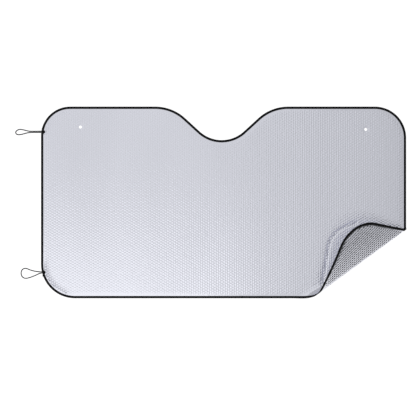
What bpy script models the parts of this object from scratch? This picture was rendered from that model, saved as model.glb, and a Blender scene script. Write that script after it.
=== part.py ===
"""Car windscreen sunshade, lying flat with one corner turned up.

A sheet of bubble foil with a notch for the mirror, two punched holes for suction cups and a
black tape sewn round its rim. Two elastic loops are knotted to the left edge; they hold the
shade shut when it is rolled. The lower right corner has curled up and over.

Metres, +Z up. The sheet lies on the ground at z = 0 with its front face up, X runs along its
length, +Y points to the edge with the notch, and the origin is under the middle of the sheet.
"""
import math

import bmesh
import bpy
from mathutils import Matrix, Vector

# Sheet, measured over the tape
LENGTH = 1.400
HEIGHT = 0.735
SHEET_THICKNESS = 0.0040
UPPER_LEFT_RADIUS = 0.112
UPPER_RIGHT_RADIUS = 0.120
LOWER_LEFT_RADIUS = 0.130
LOWER_RIGHT_RADIUS = 0.120

# Notch for the mirror: round shoulders, straight flanks and a round bottom
NOTCH_OFFSET = -0.007
NOTCH_DEPTH = 0.1285
NOTCH_FLANK_ANGLE = math.radians(42.5)
NOTCH_SHOULDER_RADIUS = 0.170
NOTCH_BOTTOM_RADIUS = 0.125

# Rim: the tape's stitches press the bubbles flat, and the foil swells again beside it
RIM_THICKNESS = 0.0016
RIM_SWELL_WIDTH = 0.008
TAPE_WIDTH = 0.009
TAPE_THICKNESS = 0.0006
TAPE_CLEARANCE = 0.0003
TAPE_EDGE_ROUNDING = 0.0007

# Suction-cup holes, from the ends and from the edge with the notch
CUP_HOLE_DIAMETER = 0.0115
LEFT_HOLE_FROM_END = 0.151
LEFT_HOLE_FROM_TOP = 0.0785
RIGHT_HOLE_FROM_END = 0.155
RIGHT_HOLE_FROM_TOP = 0.0875

# Turned-up corner: a tight conical roll, then a gentle curl about the same apex
APEX_BEYOND_END = 0.0448
APEX_ABOVE_BOTTOM = 0.3005
ROLL_SLOPE = math.radians(32.34)
ROLL_HALF_ANGLE = math.radians(3.52)
ROLL_TURN = math.radians(136.0)
CURL_HALF_ANGLE = math.radians(62.9)
CURL_SPREAD = math.radians(37.0)
ROLL_STEPS = 16
CURL_STEPS = 12

# Elastic loops and the knots that hold them
CORD_DIAMETER = 0.0040
CORD_REST = 0.0001
CORD_POINT_SPACING = 0.0045
KNOT_LENGTH = 0.0165
KNOT_WIDTH = 0.0135
KNOT_HEIGHT = 0.0095
KNOT_FROM_EDGE = 0.0075
KNOT_CLEARANCE = 0.0003
STRAND_CLEARANCE = 0.0008
UPPER_LOOP_FROM_TOP = 0.0969
LOWER_LOOP_FROM_BOTTOM = 0.0990
ARC_STEP = math.radians(6.0)
KNOT_SEGMENTS = 24
KNOT_FLAT_SHARE = 0.2

# Levels worked out from the sizes above
RIM_MIDDLE = SHEET_THICKNESS / 2
TAPE_HALF_HEIGHT = RIM_THICKNESS / 2 + TAPE_CLEARANCE + TAPE_THICKNESS
TAPE_TOP = RIM_MIDDLE + TAPE_HALF_HEIGHT
PANEL_INSET = TAPE_THICKNESS + TAPE_CLEARANCE
CORD_ON_GROUND = CORD_DIAMETER / 2 + CORD_REST
CORD_ON_TAPE = TAPE_TOP + KNOT_CLEARANCE + CORD_DIAMETER / 2


def start_empty():
    for item in list(bpy.data.objects):
        bpy.data.objects.remove(item, do_unlink=True)


def new_collection(name):
    collection = bpy.data.collections.new(name)
    bpy.context.scene.collection.children.link(collection)
    return collection


def principled(name, colour, roughness, metallic):
    material = bpy.data.materials.new(name)
    material.use_nodes = True
    shader = material.node_tree.nodes["Principled BSDF"]
    shader.inputs["Base Color"].default_value = (*colour, 1.0)
    shader.inputs["Roughness"].default_value = roughness
    shader.inputs["Metallic"].default_value = metallic
    material.diffuse_color = (*colour, 1.0)
    return material


def add_object(name, data, collection, material=None):
    item = bpy.data.objects.new(name, data)
    collection.objects.link(item)
    if material is not None:
        data.materials.append(material)
    return item


def curve_to_mesh(curve_object, name):
    """The curve's evaluated surface as a welded mesh; the curve itself is removed."""
    graph = bpy.context.evaluated_depsgraph_get()
    mesh = bpy.data.meshes.new_from_object(curve_object.evaluated_get(graph))
    mesh.name = name
    curve = curve_object.data
    bpy.data.objects.remove(curve_object, do_unlink=True)
    bpy.data.curves.remove(curve)
    shape = bmesh.new()
    shape.from_mesh(mesh)
    bmesh.ops.remove_doubles(shape, verts=shape.verts, dist=1e-6)
    bmesh.ops.recalc_face_normals(shape, faces=shape.faces)
    shape.to_mesh(mesh)
    shape.free()
    return mesh


def arc(centre, radius, start, sweep):
    """Points of an arc, with both ends; a negative sweep runs clockwise."""
    steps = max(2, math.ceil(abs(sweep) / ARC_STEP - 1e-6))
    return [
        (
            centre[0] + radius * math.cos(start + sweep * i / steps),
            centre[1] + radius * math.sin(start + sweep * i / steps),
        )
        for i in range(steps + 1)
    ]


def notch_arcs(inset):
    """Left shoulder, bottom and right shoulder; the straight flanks join their ends."""
    flank = NOTCH_FLANK_ANGLE
    top = HEIGHT / 2
    rise = 1 - math.cos(flank)
    straight_drop = NOTCH_DEPTH - rise * (NOTCH_SHOULDER_RADIUS + NOTCH_BOTTOM_RADIUS)
    half_width = math.sin(flank) * (NOTCH_SHOULDER_RADIUS + NOTCH_BOTTOM_RADIUS)
    half_width += straight_drop / math.tan(flank)
    shoulder_y = top - NOTCH_SHOULDER_RADIUS
    bottom_y = top - NOTCH_DEPTH + NOTCH_BOTTOM_RADIUS
    up = math.pi / 2
    shoulder = NOTCH_SHOULDER_RADIUS - inset
    bottom = NOTCH_BOTTOM_RADIUS + inset
    return (
        arc((NOTCH_OFFSET - half_width, shoulder_y), shoulder, up, -flank)
        + arc((NOTCH_OFFSET, bottom_y), bottom, -up - flank, 2 * flank)
        + arc((NOTCH_OFFSET + half_width, shoulder_y), shoulder, up + flank, -flank)
    )


def corner_arc(x_side, y_side, radius, inset, start):
    centre = (x_side * (LENGTH / 2 - radius), y_side * (HEIGHT / 2 - radius))
    return arc(centre, radius - inset, start, -math.pi / 2)


def rim_outline(inset):
    """The sheet's outline, clockwise from the upper left corner, moved inward by inset."""
    return (
        corner_arc(-1, 1, UPPER_LEFT_RADIUS, inset, math.pi)
        + notch_arcs(inset)
        + corner_arc(1, 1, UPPER_RIGHT_RADIUS, inset, math.pi / 2)
        + corner_arc(1, -1, LOWER_RIGHT_RADIUS, inset, 0.0)
        + corner_arc(-1, -1, LOWER_LEFT_RADIUS, inset, -math.pi / 2)
    )


def closed_curve(name, points, collection):
    curve = bpy.data.curves.new(name, "CURVE")
    curve.dimensions = "2D"
    spline = curve.splines.new("POLY")
    spline.points.add(len(points) - 1)
    for slot, (x, y) in zip(spline.points, points):
        slot.co = (x, y, 0.0, 1.0)
    spline.use_cyclic_u = True
    return add_object(name, curve, collection)


def apex_of_roll():
    return Vector((LENGTH / 2 + APEX_BEYOND_END, -HEIGHT / 2 + APEX_ABOVE_BOTTOM, 0.0))


def roll_directions():
    """Along the line where the sheet leaves the ground, and across it towards the corner."""
    along = Vector((-math.cos(ROLL_SLOPE), -math.sin(ROLL_SLOPE), 0.0))
    across = Vector((math.sin(ROLL_SLOPE), -math.cos(ROLL_SLOPE), 0.0))
    return along, across


def curled(along, up, half_angle, spread):
    """The sheet's direction and front normal after a part of its fan winds on a cone."""
    axis = math.cos(half_angle) * along + math.sin(half_angle) * up
    turn = Matrix.Rotation(spread / math.sin(half_angle), 3, axis)
    return turn @ along, turn @ up


def rolled(point):
    """Where a point of the flat sheet lies in the turned-up corner.

    Straight lines fan out from the apex. Each stays straight, and the front film keeps its
    length, so the shape is one that a flat sheet can take.
    """
    apex = apex_of_roll()
    along, across = roll_directions()
    reach = Vector((point.x, point.y, 0.0)) - apex
    fan_angle = math.atan2(reach.dot(across), reach.dot(along))
    if fan_angle <= 0.0:
        return point
    up = Vector((0.0, 0.0, 1.0))
    tight = min(fan_angle, ROLL_TURN * math.sin(ROLL_HALF_ANGLE))
    along, up = curled(along, up, ROLL_HALF_ANGLE, tight)
    along, up = curled(along, up, CURL_HALF_ANGLE, fan_angle - tight)
    front_film = apex + Vector((0.0, 0.0, SHEET_THICKNESS))
    return front_film + reach.length * along + (point.z - SHEET_THICKNESS) * up


def fan_angles():
    tight = ROLL_TURN * math.sin(ROLL_HALF_ANGLE)
    angles = [tight * i / ROLL_STEPS for i in range(ROLL_STEPS + 1)]
    angles += [tight + CURL_SPREAD * i / CURL_STEPS for i in range(1, CURL_STEPS + 1)]
    return angles


def roll_mesh(mesh):
    """Cuts a flat mesh along the fan's lines and bends it into the turned-up corner."""
    shape = bmesh.new()
    shape.from_mesh(mesh)
    along, across = roll_directions()
    for angle in fan_angles():
        normal = math.cos(angle) * across - math.sin(angle) * along
        everything = shape.verts[:] + shape.edges[:] + shape.faces[:]
        bmesh.ops.bisect_plane(
            shape, geom=everything, dist=1e-7, plane_co=apex_of_roll(), plane_no=normal
        )
    bmesh.ops.triangulate(shape, faces=shape.faces)
    for vert in shape.verts:
        vert.co = rolled(vert.co)
    shape.to_mesh(mesh)
    shape.free()


def plate_mesh(collection):
    """The flat sheet: thin under the tape, full thickness a little way inside it."""
    plate = closed_curve("plate_outline", rim_outline(PANEL_INSET), collection)
    plate.data.fill_mode = "BOTH"
    plate.data.extrude = RIM_THICKNESS / 2
    mesh = curve_to_mesh(plate, "shade_panel")
    shape = bmesh.new()
    shape.from_mesh(mesh)
    flat_edges = [
        edge for edge in shape.edges
        if len(edge.link_faces) == 2 and edge.calc_face_angle() < math.radians(1)
    ]
    bmesh.ops.dissolve_edges(shape, edges=flat_edges, use_verts=False)
    swell = (SHEET_THICKNESS - RIM_THICKNESS) / 2
    flat_width = TAPE_WIDTH - PANEL_INSET
    for side in (1, -1):
        for width, rise in ((flat_width, 0.0), (RIM_SWELL_WIDTH, swell)):
            face = [face for face in shape.faces if face.normal.z * side > 0.999]
            face = [max(face, key=lambda item: item.calc_area())]
            bmesh.ops.inset_region(
                shape, faces=face, thickness=width, depth=0.0,
                use_even_offset=True, use_boundary=True,
            )
            bmesh.ops.translate(shape, verts=face[0].verts, vec=(0.0, 0.0, side * rise))
            shape.normal_update()
    bmesh.ops.translate(shape, verts=shape.verts, vec=(0.0, 0.0, RIM_MIDDLE))
    shape.to_mesh(mesh)
    shape.free()
    return mesh


def hole_cutter(name, x, y, diameter, collection):
    bpy.ops.mesh.primitive_cylinder_add(
        vertices=32, radius=diameter / 2, depth=4 * SHEET_THICKNESS,
        location=(x, y, SHEET_THICKNESS / 2),
    )
    cutter = bpy.context.object
    cutter.name = name
    for owner in list(cutter.users_collection):
        owner.objects.unlink(cutter)
    collection.objects.link(cutter)
    cutter.hide_render = True
    cutter.display_type = "WIRE"
    return cutter


def make_panel(parts, cutters, foil):
    mesh = plate_mesh(cutters)
    roll_mesh(mesh)
    panel = add_object("shade_panel", mesh, parts, foil)
    left = (-LENGTH / 2 + LEFT_HOLE_FROM_END, HEIGHT / 2 - LEFT_HOLE_FROM_TOP)
    right = (LENGTH / 2 - RIGHT_HOLE_FROM_END, HEIGHT / 2 - RIGHT_HOLE_FROM_TOP)
    for side, (x, y) in (("left", left), ("right", right)):
        cutter = hole_cutter(side + "_cup_hole_cutter", x, y, CUP_HOLE_DIAMETER, cutters)
        cut = panel.modifiers.new(side + " cup hole", "BOOLEAN")
        cut.object = cutter
        cut.operation = "DIFFERENCE"
    return panel


def tape_section():
    """Half-open section of the folded tape: x runs inward from the rim, y is height."""
    top = TAPE_HALF_HEIGHT
    gap = RIM_THICKNESS / 2 + TAPE_CLEARANCE
    soft = TAPE_EDGE_ROUNDING
    upper = [
        (TAPE_THICKNESS, gap), (TAPE_WIDTH, gap), (TAPE_WIDTH, top),
        (soft, top), (soft * 0.3, top - soft * 0.3), (0.0, top - soft),
    ]
    lower = [(x, -y) for x, y in reversed(upper)]
    return upper + lower


def make_binding(parts, cutters, tape):
    section = closed_curve("tape_section", tape_section(), cutters)
    path = closed_curve("edge_binding_path", rim_outline(0.0), cutters)
    path.location.z = RIM_MIDDLE
    path.data.bevel_mode = "OBJECT"
    path.data.bevel_object = section
    mesh = curve_to_mesh(path, "edge_binding")
    mesh.transform(Matrix.Translation((0.0, 0.0, RIM_MIDDLE)))
    bpy.data.objects.remove(section, do_unlink=True)
    roll_mesh(mesh)
    return add_object("edge_binding", mesh, parts, tape)


def smooth_points(route, spacing):
    """Points along a smooth curve through the route, about one spacing apart and above the ground."""
    knots = [Vector(point) for point in route]
    knots = [2 * knots[0] - knots[1]] + knots + [2 * knots[-1] - knots[-2]]
    fine = []
    for a, b, c, d in zip(knots, knots[1:], knots[2:], knots[3:]):
        for i in range(24):
            t = i / 24
            fine.append(
                b + 0.5 * t * ((c - a) + t * ((2 * a - 5 * b + 4 * c - d) + t * (3 * (b - c) + d - a)))
            )
    fine.append(knots[-2])
    for point in fine:
        point.z = max(point.z, CORD_ON_GROUND)
    total = sum((q - p).length for p, q in zip(fine, fine[1:]))
    count = max(2, round(total / spacing))
    points = [fine[0]]
    walked = 0.0
    for p, q in zip(fine, fine[1:]):
        walked += (q - p).length
        if walked >= total * len(points) / count and len(points) < count:
            points.append(q)
    points.append(fine[-1])
    return points


def make_loop(name, anchor, route, parts, rubber):
    """An elastic cord out of its knot, over the tape and round on the ground, and back."""
    curve = bpy.data.curves.new(name, "CURVE")
    curve.dimensions = "3D"
    points = smooth_points([(anchor[0] + x, anchor[1] + y, z) for x, y, z in route], CORD_POINT_SPACING)
    spline = curve.splines.new("POLY")
    spline.points.add(len(points) - 1)
    for slot, point in zip(spline.points, points):
        slot.co = (*point, 1.0)
    curve.bevel_depth = CORD_DIAMETER / 2
    curve.bevel_resolution = 2
    curve.use_fill_caps = True
    return add_object(name, curve, parts, rubber)


def make_knot(name, anchor, parts, rubber):
    """The knotted ends of a loop: a squat lump, flat where it sits on the tape."""
    bpy.ops.mesh.primitive_uv_sphere_add(segments=KNOT_SEGMENTS, ring_count=KNOT_SEGMENTS // 2, radius=0.5)
    knot = bpy.context.object
    knot.name = name
    knot.data.name = name
    for owner in list(knot.users_collection):
        owner.objects.unlink(knot)
    parts.objects.link(knot)
    shape = bmesh.new()
    shape.from_mesh(knot.data)
    full_height = KNOT_HEIGHT / (1 - KNOT_FLAT_SHARE)
    bmesh.ops.scale(shape, verts=shape.verts, vec=(KNOT_WIDTH, KNOT_LENGTH, full_height))
    floor = full_height / 2 - KNOT_HEIGHT
    everything = shape.verts[:] + shape.edges[:] + shape.faces[:]
    cut = bmesh.ops.bisect_plane(
        shape, geom=everything, dist=1e-7, plane_co=(0.0, 0.0, floor), plane_no=(0.0, 0.0, -1.0),
        clear_outer=True,
    )
    rim = [item for item in cut["geom_cut"] if isinstance(item, bmesh.types.BMEdge)]
    bmesh.ops.contextual_create(shape, geom=rim)
    bmesh.ops.recalc_face_normals(shape, faces=shape.faces)
    shape.to_mesh(knot.data)
    shape.free()
    knot.data.shade_smooth()
    knot.data.set_sharp_from_angle(angle=math.radians(40))
    knot.data.materials.append(rubber)
    knot.location = (anchor[0], anchor[1], TAPE_TOP + KNOT_CLEARANCE - floor)
    return knot


# Routes of the loops from their knots: metres left of and above the knot, and height
STRAND = (CORD_DIAMETER + STRAND_CLEARANCE) / 2
START = KNOT_WIDTH / 2 + KNOT_CLEARANCE
UPPER_ROUTE = [
    (-START, STRAND, CORD_ON_TAPE),
    (-0.0105, STRAND, CORD_ON_TAPE),
    (-0.0165, STRAND, 0.0047),
    (-0.0220, STRAND, 0.0029),
    (-0.0285, STRAND, CORD_ON_GROUND),
    (-0.0400, 0.0023, CORD_ON_GROUND),
    (-0.0520, 0.0026, CORD_ON_GROUND),
    (-0.0620, 0.0042, CORD_ON_GROUND),
    (-0.0740, 0.0072, CORD_ON_GROUND),
    (-0.0860, 0.0094, CORD_ON_GROUND),
    (-0.0955, 0.0082, CORD_ON_GROUND),
    (-0.1035, 0.0030, CORD_ON_GROUND),
    (-0.1056, -0.0035, CORD_ON_GROUND),
    (-0.1015, -0.0092, CORD_ON_GROUND),
    (-0.0920, -0.0108, CORD_ON_GROUND),
    (-0.0790, -0.0086, CORD_ON_GROUND),
    (-0.0660, -0.0050, CORD_ON_GROUND),
    (-0.0540, -0.0031, CORD_ON_GROUND),
    (-0.0400, -0.0024, CORD_ON_GROUND),
    (-0.0285, -STRAND, CORD_ON_GROUND),
    (-0.0220, -STRAND, 0.0029),
    (-0.0165, -STRAND, 0.0047),
    (-0.0105, -STRAND, CORD_ON_TAPE),
    (-START, -STRAND, CORD_ON_TAPE),
]
LOWER_ROUTE = [
    (-START, STRAND, CORD_ON_TAPE),
    (-0.0105, STRAND, CORD_ON_TAPE),
    (-0.0165, 0.0026, 0.0047),
    (-0.0220, 0.0032, 0.0029),
    (-0.0290, 0.0039, CORD_ON_GROUND),
    (-0.0410, 0.0063, CORD_ON_GROUND),
    (-0.0530, 0.0098, CORD_ON_GROUND),
    (-0.0640, 0.0143, CORD_ON_GROUND),
    (-0.0735, 0.0158, CORD_ON_GROUND),
    (-0.0820, 0.0118, CORD_ON_GROUND),
    (-0.0864, 0.0040, CORD_ON_GROUND),
    (-0.0872, -0.0060, CORD_ON_GROUND),
    (-0.0836, -0.0155, CORD_ON_GROUND),
    (-0.0760, -0.0212, CORD_ON_GROUND),
    (-0.0665, -0.0222, CORD_ON_GROUND),
    (-0.0540, -0.0192, CORD_ON_GROUND),
    (-0.0420, -0.0148, CORD_ON_GROUND),
    (-0.0310, -0.0103, CORD_ON_GROUND),
    (-0.0230, -0.0066, 0.0029),
    (-0.0170, -0.0038, 0.0047),
    (-0.0105, -STRAND, CORD_ON_TAPE),
    (-START, -STRAND, CORD_ON_TAPE),
]


def left_rim_x(y):
    """X of the sheet's left edge at a height, also where the corners round it off."""
    if y > HEIGHT / 2 - UPPER_LEFT_RADIUS:
        radius, rise = UPPER_LEFT_RADIUS, y - (HEIGHT / 2 - UPPER_LEFT_RADIUS)
    elif y < LOWER_LEFT_RADIUS - HEIGHT / 2:
        radius, rise = LOWER_LEFT_RADIUS, (LOWER_LEFT_RADIUS - HEIGHT / 2) - y
    else:
        return -LENGTH / 2
    return -LENGTH / 2 + radius - math.sqrt(radius ** 2 - rise ** 2)


def knot_place(y):
    return left_rim_x(y) + KNOT_FROM_EDGE, y


def main():
    start_empty()
    parts = new_collection("car_sunshade")
    cutters = new_collection("cutters")
    foil = principled("bubble foil", (0.82, 0.83, 0.86), 0.30, 1.0)
    tape = principled("binding tape", (0.016, 0.016, 0.018), 0.75, 0.0)
    rubber = principled("elastic cord", (0.014, 0.014, 0.016), 0.85, 0.0)
    make_panel(parts, cutters, foil)
    make_binding(parts, cutters, tape)
    upper = knot_place(HEIGHT / 2 - UPPER_LOOP_FROM_TOP)
    lower = knot_place(-HEIGHT / 2 + LOWER_LOOP_FROM_BOTTOM)
    make_knot("upper_loop_knot", upper, parts, rubber)
    make_knot("lower_loop_knot", lower, parts, rubber)
    make_loop("upper_loop", upper, UPPER_ROUTE, parts, rubber)
    make_loop("lower_loop", lower, LOWER_ROUTE, parts, rubber)


main()
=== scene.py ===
# %% [markdown]
# # A bubble-foil windscreen shade
#
# The real shade is one sheet of bubble foil: two metallised films with rows of small air
# bubbles between them. A black tape is folded round its rim and sewn on. Two elastic loops
# hold it shut when it is rolled up. One corner has curled up and over, and shows its back.
#
# This file dresses the solids of the CAD model. They are loaded first, as a fixed frame in
# metres, and every new piece is laid where its solid is.

# %% Load the frame
import math

import bmesh
import bpy
import numpy as np
from mathutils import Matrix, Vector, kdtree


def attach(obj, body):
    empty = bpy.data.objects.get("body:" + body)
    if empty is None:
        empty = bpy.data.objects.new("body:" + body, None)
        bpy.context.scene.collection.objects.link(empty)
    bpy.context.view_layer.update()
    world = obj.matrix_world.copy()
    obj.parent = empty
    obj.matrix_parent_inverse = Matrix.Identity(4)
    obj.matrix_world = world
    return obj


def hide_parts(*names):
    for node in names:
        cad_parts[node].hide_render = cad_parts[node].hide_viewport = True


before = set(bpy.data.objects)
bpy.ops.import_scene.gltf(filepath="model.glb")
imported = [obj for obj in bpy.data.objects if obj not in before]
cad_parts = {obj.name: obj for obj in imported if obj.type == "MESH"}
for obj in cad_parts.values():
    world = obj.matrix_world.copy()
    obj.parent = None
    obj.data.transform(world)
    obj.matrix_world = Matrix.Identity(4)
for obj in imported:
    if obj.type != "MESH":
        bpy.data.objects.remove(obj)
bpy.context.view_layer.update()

print("solids:", ", ".join(sorted(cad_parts)))

# %% [markdown]
# ## The camera
#
# The sheet lies on the ground, so the camera looks straight down at it, as the photograph
# looks at its front. A long lens far away keeps the straight edges straight. The distance is
# worked out from how many millimetres of the sheet one pixel of the picture covers.

# %% Camera
METRES_PER_PIXEL = 0.0038355
PICTURE_PIXELS = 420
LENS_MM = 135.0
SENSOR_MM = 36.0
CAMERA_X = -0.052
CAMERA_Y = -0.029
camera_height = METRES_PER_PIXEL * PICTURE_PIXELS * LENS_MM / SENSOR_MM

camera_data = bpy.data.cameras.new("camera")
camera_data.lens = LENS_MM
camera_data.sensor_width = SENSOR_MM
camera = bpy.data.objects.new("camera", camera_data)
camera.location = (CAMERA_X, CAMERA_Y, camera_height)
bpy.context.scene.collection.objects.link(camera)
bpy.context.scene.camera = camera
print(f"camera {camera_height:.2f} m above the sheet")

# %% [markdown]
# ## Sizes of the sheet
#
# These are the driving sizes of the CAD model, in metres, said again here because this file
# reads nothing but the frame. The outline is made of arcs, joined by straight edges, so one
# function gives it at any distance in from the rim.

# %% Sizes
LENGTH = 1.400
HEIGHT = 0.735
SHEET_THICKNESS = 0.0040
CORNERS = (  # side in x, side in y, radius, where its arc starts
    (-1, 1, 0.112, math.pi),
    (1, 1, 0.120, math.pi / 2),
    (1, -1, 0.120, 0.0),
    (-1, -1, 0.130, -math.pi / 2),
)
NOTCH_OFFSET = -0.007
NOTCH_DEPTH = 0.1285
NOTCH_FLANK = math.radians(42.5)
SHOULDER_RADIUS = 0.170
BOTTOM_RADIUS = 0.125
RIM_THICKNESS = 0.0016
TAPE_WIDTH = 0.009
TAPE_THICKNESS = 0.0006
CLEARANCE = 0.0003  # left between a piece and what it lies on
MIDDLE = SHEET_THICKNESS / 2
TAPE_TOP = MIDDLE + RIM_THICKNESS / 2 + CLEARANCE + TAPE_THICKNESS
HOLE_RADIUS = 0.00575
CUP_HOLES = (Vector((-0.549, 0.289)), Vector((0.545, 0.280)))
print(f"sheet {LENGTH * 1000:.0f} by {HEIGHT * 1000:.0f} mm")


# %% Outline
def arc(centre, radius, start, sweep, step=math.radians(2.0)):
    """Points of an arc with both its ends; a negative sweep runs clockwise."""
    steps = max(2, math.ceil(abs(sweep) / step))
    angles = [start + sweep * i / steps for i in range(steps + 1)]
    x, y = centre
    return [Vector((x + radius * math.cos(a), y + radius * math.sin(a))) for a in angles]


def notch(inset):
    """Left shoulder, bottom and right shoulder of the notch for the mirror."""
    radii = SHOULDER_RADIUS + BOTTOM_RADIUS
    straight_drop = NOTCH_DEPTH - (1 - math.cos(NOTCH_FLANK)) * radii
    half_width = math.sin(NOTCH_FLANK) * radii + straight_drop / math.tan(NOTCH_FLANK)
    shoulder_y = HEIGHT / 2 - SHOULDER_RADIUS
    bottom_y = HEIGHT / 2 - NOTCH_DEPTH + BOTTOM_RADIUS
    up = math.pi / 2
    shoulder = SHOULDER_RADIUS - inset
    return (
        arc((NOTCH_OFFSET - half_width, shoulder_y), shoulder, up, -NOTCH_FLANK)
        + arc((NOTCH_OFFSET, bottom_y), BOTTOM_RADIUS + inset, -up - NOTCH_FLANK, 2 * NOTCH_FLANK)
        + arc((NOTCH_OFFSET + half_width, shoulder_y), shoulder, up + NOTCH_FLANK, -NOTCH_FLANK)
    )


def outline(inset=0.0):
    """The sheet's outline, clockwise from its upper left corner."""
    arcs = [
        arc((x * (LENGTH / 2 - r), y * (HEIGHT / 2 - r)), r - inset, start, -math.pi / 2)
        for x, y, r, start in CORNERS
    ]
    return arcs[0] + notch(inset) + arcs[1] + arcs[2] + arcs[3]


def walk(points, spacing):
    """Places evenly round a closed outline: the point, the way outward, and the way along."""
    ends = points[1:] + points[:1]
    total = sum((b - a).length for a, b in zip(points, ends))
    count = round(total / spacing)
    places = []
    walked = 0.0
    for a, b in zip(points, ends):
        run = (b - a).length
        if run < 1e-9:
            continue
        along = (b - a) / run
        while len(places) < count and total * len(places) / count < walked + run:
            point = a + along * (total * len(places) / count - walked)
            places.append((point, Vector((-along.y, along.x)), along))
        walked += run
    return places, total


def tree_of(points):
    """A search tree that finds the nearest of many points."""
    tree = kdtree.KDTree(len(points))
    for index, point in enumerate(points):
        tree.insert(point, index)
    tree.balance()
    return tree


RIM_STEP = 0.002
rim, rim_length = walk(outline(), RIM_STEP)
rim_tree = tree_of([(*point, 0.0) for point, _, _ in rim])


def rim_depth(x, y):
    """How far inside the rim a point of the flat sheet is, and the rim's place next to it."""
    index = rim_tree.find((x, y, 0.0))[1]
    point, outward, _ = rim[index]
    return (point - Vector((x, y))).dot(outward), index


# %% [markdown]
# ## The curled corner
#
# Foil bends but doesn't stretch, so straight lines drawn on the flat sheet from one apex
# stay straight when its corner curls up: the corner is a cone, and the lines are its fan. It
# rolls tightly at first and then curls more gently about the same apex. Every piece is made
# flat and then bent with one function, so films, tape and stitches keep together.

# %% Bend
APEX = np.array((LENGTH / 2 + 0.0448, -HEIGHT / 2 + 0.3005, 0.0))
ROLL_SLOPE = math.radians(32.34)
ROLL_HALF_ANGLE = math.radians(3.52)
ROLL_TURN = math.radians(136.0)
CURL_HALF_ANGLE = math.radians(62.9)
FAN_ALONG = np.array((-math.cos(ROLL_SLOPE), -math.sin(ROLL_SLOPE), 0.0))
FAN_ACROSS = np.array((math.sin(ROLL_SLOPE), -math.cos(ROLL_SLOPE), 0.0))
TIGHT_FAN = ROLL_TURN * math.sin(ROLL_HALF_ANGLE)


def curled(along, up, half_angle, spread):
    """Turns the sheet's direction and its front normal about the axis of a cone."""
    axis = math.cos(half_angle) * along + math.sin(half_angle) * up
    turn = (spread / math.sin(half_angle))[:, None]

    def turned(v):
        beside = np.cross(axis, v)
        on_axis = axis * (axis * v).sum(1)[:, None]
        return v * np.cos(turn) + beside * np.sin(turn) + on_axis * (1 - np.cos(turn))

    return turned(along), turned(up)


def bent(flat):
    """Where points of the flat sheet lie once the corner has curled."""
    reach = (flat - APEX) * (1.0, 1.0, 0.0)
    fan = np.maximum(np.arctan2(reach @ FAN_ACROSS, reach @ FAN_ALONG), 0.0)
    tight = np.minimum(fan, TIGHT_FAN)
    along = np.tile(FAN_ALONG, (len(flat), 1))
    up = np.tile((0.0, 0.0, 1.0), (len(flat), 1))
    along, up = curled(along, up, ROLL_HALF_ANGLE, tight)
    along, up = curled(along, up, CURL_HALF_ANGLE, fan - tight)
    front = APEX + (0.0, 0.0, SHEET_THICKNESS)
    lifted = front + np.linalg.norm(reach, axis=1)[:, None] * along
    lifted += (flat[:, 2] - SHEET_THICKNESS)[:, None] * up
    return np.where((fan > 0)[:, None], lifted, flat)


def points_of(mesh):
    """The vertices of a mesh, one to a row."""
    points = np.empty(len(mesh.vertices) * 3)
    mesh.vertices.foreach_get("co", points)
    return points.reshape(-1, 3)


def bend_mesh(mesh):
    """Curls the corner of a mesh that was made flat."""
    mesh.vertices.foreach_set("co", bent(points_of(mesh)).ravel())
    mesh.update()


def fan_normal(angle):
    """The way across one line of the fan."""
    return math.cos(angle) * FAN_ACROSS - math.sin(angle) * FAN_ALONG


def cut_on_fan(shape, geometry, normal):
    """Cuts flat geometry along a line of the fan, so that it can bend there."""
    bmesh.ops.bisect_plane(shape, geom=geometry, dist=1e-7, plane_co=APEX, plane_no=normal)


print(f"the sheet rolls over within {math.degrees(TIGHT_FAN):.1f} degrees of its fan")


# %% [markdown]
# ## Shared tools
#
# Every finished piece is an object at the origin that rides on the one body, and a curve or a
# stack of modifiers becomes a plain mesh before it is bent.

# %% Tools
def add_piece(name, mesh, material, slot, *nodes):
    """A finished piece on the one body, in the place of the solids it stands for."""
    piece = bpy.data.objects.new(name, mesh)
    mesh.name = name
    mesh.materials.clear()
    mesh.materials.append(material)
    bpy.context.scene.collection.objects.link(piece)
    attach(piece, "root")
    if nodes:
        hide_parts(*nodes)
    return piece


def as_mesh(maker):
    """The evaluated mesh of an object with modifiers or of a curve, which is then removed."""
    graph = bpy.context.evaluated_depsgraph_get()
    mesh = bpy.data.meshes.new_from_object(maker.evaluated_get(graph))
    bpy.data.objects.remove(maker, do_unlink=True)
    return mesh


def add_maker(name, data):
    """A helper object, which as_mesh turns into a plain mesh."""
    maker = bpy.data.objects.new(name, data)
    bpy.context.scene.collection.objects.link(maker)
    return maker


def smoothstep(x):
    """Rises softly from 0 to 1 while x does."""
    x = min(1.0, max(0.0, x))
    return x * x * (3 - 2 * x)


MERGE_DISTANCE = 1e-6


def merge_and_turn(mesh):
    """Merges doubled vertices and then turns all faces outwards."""
    shape = bmesh.new()
    shape.from_mesh(mesh)
    bmesh.ops.remove_doubles(shape, verts=shape.verts, dist=MERGE_DISTANCE)
    bmesh.ops.recalc_face_normals(shape, faces=shape.faces)
    shape.to_mesh(mesh)
    shape.free()


def lengths_along(line):
    """How far along a line each of its points is."""
    steps = np.linalg.norm(np.diff(line, axis=0), axis=1)
    return np.concatenate([[0.0], np.cumsum(steps)])


def points_along(line, at):
    """Points of a line at given lengths along it."""
    walked = lengths_along(line)
    return np.stack([np.interp(at, walked, axis) for axis in line.T], axis=1)


def write_uv(mesh, uv):
    """Gives each corner of the faces its vertex's own place on the flat sheet."""
    corners = np.empty(len(mesh.loops), dtype=np.int32)
    mesh.loops.foreach_get("vertex_index", corners)
    layer = mesh.uv_layers.new(name="sheet")
    layer.data.foreach_set("uv", uv[corners].ravel())


# %% [markdown]
# ## Node groups for the finishes
#
# Three effects are used by more than one finish, so each is a node group: fine creases as in
# foil that has been rolled, a woven surface of crossing threads, and a slow drift of tone.

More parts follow.
